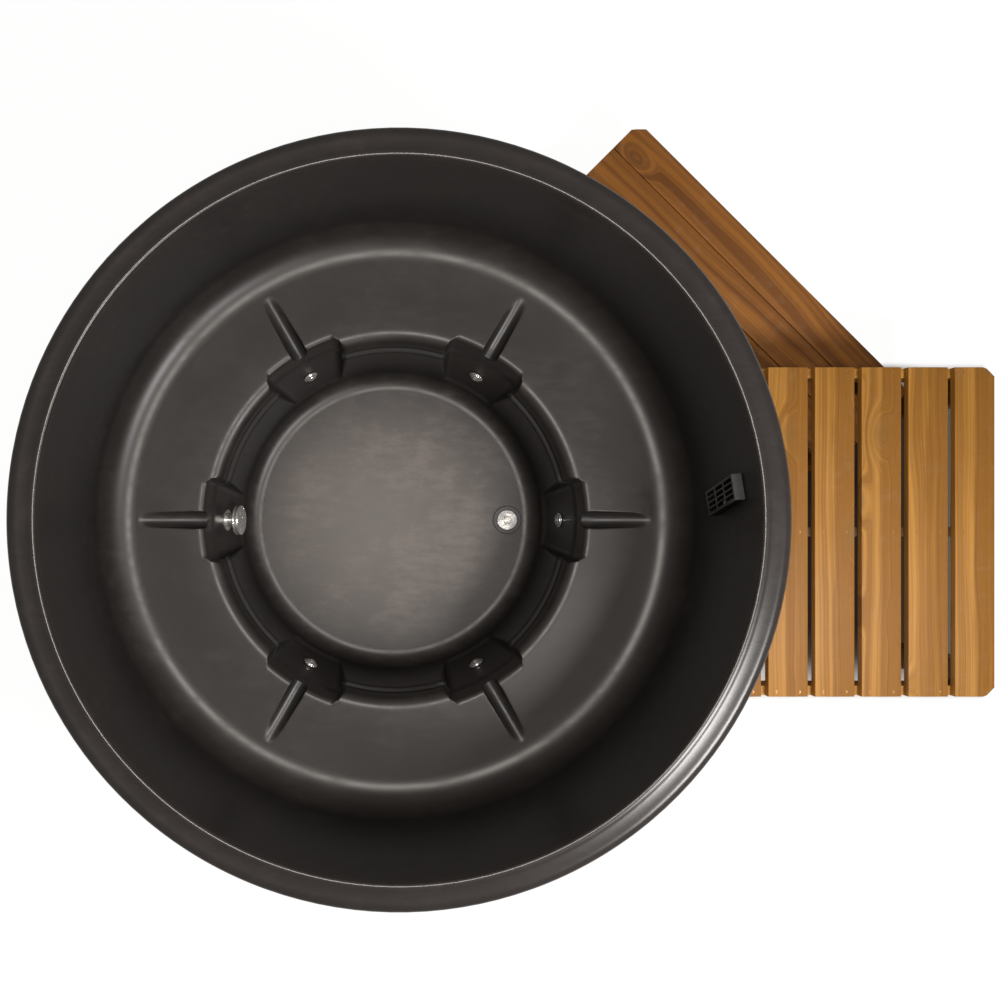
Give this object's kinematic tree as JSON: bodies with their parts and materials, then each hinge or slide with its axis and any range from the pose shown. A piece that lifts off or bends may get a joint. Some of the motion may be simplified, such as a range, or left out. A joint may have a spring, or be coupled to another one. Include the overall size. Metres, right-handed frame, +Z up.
{
  "type": "outdoor hot tub",
  "caption": "Round outdoor hot tub: moulded dark liner in a timber barrel with bench seat, jets and floor drain, and a slatted platform with a low diagonal step beside it.",
  "frame": {"origin": "on the ground under the middle of the barrel, at the underside of the middle base timber", "axes": "+Z up, +X from the barrel to the platform, so -X is the side of the suction fitting"},
  "size_m": [2.6908, 2.1817, 1],
  "materials": {
    "liner_plastic": "satin moulded",
    "cladding_wood": "oiled",
    "hoop_steel": "brushed",
    "frame_timber": "sawn",
    "screw_steel": "plain",
    "platform_wood": "oiled",
    "step_wood": "stained",
    "chrome": "polished",
    "seal_rubber": "matte",
    "grille_plastic": "moulded",
    "valve_brass": "cast and turned",
    "lever_red": "dipped",
    "motor_paint": "satin paint",
    "pipe_plastic": "extruded",
    "fitting_plastic": "moulded"
  },
  "bodies": {
    "tub": {"liner": "liner_plastic", "stave_panel_1": "cladding_wood", "stave_panel_2": "cladding_wood", "stave_panel_3": "cladding_wood", "stave_panel_4": "cladding_wood", "stave_panel_5": "cladding_wood", "stave_panel_6": "cladding_wood", "hoop_lower": "hoop_steel", "hoop_upper": "hoop_steel", "hoop_bolts": "hoop_steel", "base_joists": "frame_timber", "seat_posts": "frame_timber", "jet_bodies": "fitting_plastic", "jet_locknuts": "fitting_plastic", "suction_fitting": "fitting_plastic", "suction_locknut": "fitting_plastic", "suction_cap": "chrome", "ring_pipe": "pipe_plastic", "suction_pipe": "pipe_plastic", "pump_casing": "fitting_plastic", "pump_motor": "motor_paint", "pump_foot": "frame_timber", "drain_flange": "fitting_plastic", "drain_sump": "fitting_plastic", "drain_pipe": "pipe_plastic", "valve_body": "valve_brass", "overflow_tray": "grille_plastic", "overflow_pipe": "pipe_plastic", "platform_boards": "platform_wood", "platform_screws": "screw_steel", "platform_bearer_1": "platform_wood", "platform_bearer_2": "platform_wood", "platform_bearer_3": "platform_wood", "platform_leg_1": "platform_wood", "platform_leg_2": "platform_wood", "platform_leg_3": "platform_wood", "platform_leg_4": "platform_wood", "platform_spacer": "platform_wood", "platform_props": "platform_wood", "step_boards": "step_wood", "step_screws": "screw_steel", "step_upright_1": "step_wood", "step_upright_2": "step_wood", "step_upright_3": "step_wood"},
    "plug": {"drain_plug": "chrome", "plug_seal": "seal_rubber"},
    "valve": {"valve_lever": "lever_red", "valve_ball": "valve_brass"},
    "impeller": {"pump_impeller": "fitting_plastic"},
    "grille": {"overflow_grille": "grille_plastic"},
    "jet_ring_1": {"jet_face_1": "chrome"},
    "jet_eye_1": {"jet_nozzle_1": "chrome"},
    "jet_ring_2": {"jet_face_2": "chrome"},
    "jet_eye_2": {"jet_nozzle_2": "chrome"},
    "jet_ring_3": {"jet_face_3": "chrome"},
    "jet_eye_3": {"jet_nozzle_3": "chrome"},
    "jet_ring_4": {"jet_face_4": "chrome"},
    "jet_eye_4": {"jet_nozzle_4": "chrome"},
    "jet_ring_5": {"jet_face_5": "chrome"},
    "jet_eye_5": {"jet_nozzle_5": "chrome"}
  },
  "joints": [
    {"name": "plug_lift", "type": "slide", "parent": "tub", "child": "plug", "axis": [0, 0, 1], "range_m": [0, 0.15]},
    {"name": "valve_turn", "type": "hinge", "parent": "tub", "child": "valve", "pos_m": [1.035, 0, 0.022], "axis": [0, 0, 1], "range_deg": [0, 90]},
    {"name": "impeller_spin", "type": "hinge", "parent": "tub", "child": "impeller", "pos_m": [-0.68, 0, 0.23039], "axis": [1, 0, 0], "continuous": true},
    {"name": "grille_lift", "type": "slide", "parent": "tub", "child": "grille", "axis": [0.0199, 0.21, 0.9775], "range_m": [0, 0.22]},
    {"name": "jet_1_turn", "type": "hinge", "parent": "tub", "child": "jet_ring_1", "pos_m": [0.52412, 0, 0.25], "axis": [-0.9816, 0, 0.1908], "range_deg": [0, 90]},
    {"name": "jet_1_aim", "type": "hinge", "parent": "jet_ring_1", "child": "jet_eye_1", "pos_m": [0.51922, 0, 0.25095], "axis": [0, 1, 0], "range_deg": [-12, 12]},
    {"name": "jet_2_turn", "type": "hinge", "parent": "tub", "child": "jet_ring_2", "pos_m": [0.26206, 0.45391, 0.25], "axis": [-0.4908, -0.8501, 0.1908], "range_deg": [0, 90]},
    {"name": "jet_2_aim", "type": "hinge", "parent": "jet_ring_2", "child": "jet_eye_2", "pos_m": [0.25961, 0.44965, 0.25095], "axis": [-0.866, 0.5, 0], "range_deg": [-12, 12]},
    {"name": "jet_3_turn", "type": "hinge", "parent": "tub", "child": "jet_ring_3", "pos_m": [-0.26206, 0.45391, 0.25], "axis": [0.4908, -0.8501, 0.1908], "range_deg": [0, 90]},
    {"name": "jet_3_aim", "type": "hinge", "parent": "jet_ring_3", "child": "jet_eye_3", "pos_m": [-0.25961, 0.44965, 0.25095], "axis": [-0.866, -0.5, 0], "range_deg": [-12, 12]},
    {"name": "jet_4_turn", "type": "hinge", "parent": "tub", "child": "jet_ring_4", "pos_m": [-0.26206, -0.45391, 0.25], "axis": [0.4908, 0.8501, 0.1908], "range_deg": [0, 90]},
    {"name": "jet_4_aim", "type": "hinge", "parent": "jet_ring_4", "child": "jet_eye_4", "pos_m": [-0.25961, -0.44965, 0.25095], "axis": [0.866, -0.5, 0], "range_deg": [-12, 12]},
    {"name": "jet_5_turn", "type": "hinge", "parent": "tub", "child": "jet_ring_5", "pos_m": [0.26206, -0.45391, 0.25], "axis": [-0.4908, 0.8501, 0.1908], "range_deg": [0, 90]},
    {"name": "jet_5_aim", "type": "hinge", "parent": "jet_ring_5", "child": "jet_eye_5", "pos_m": [0.25961, -0.44965, 0.25095], "axis": [0.866, 0.5, 0], "range_deg": [-12, 12]}
  ]
}
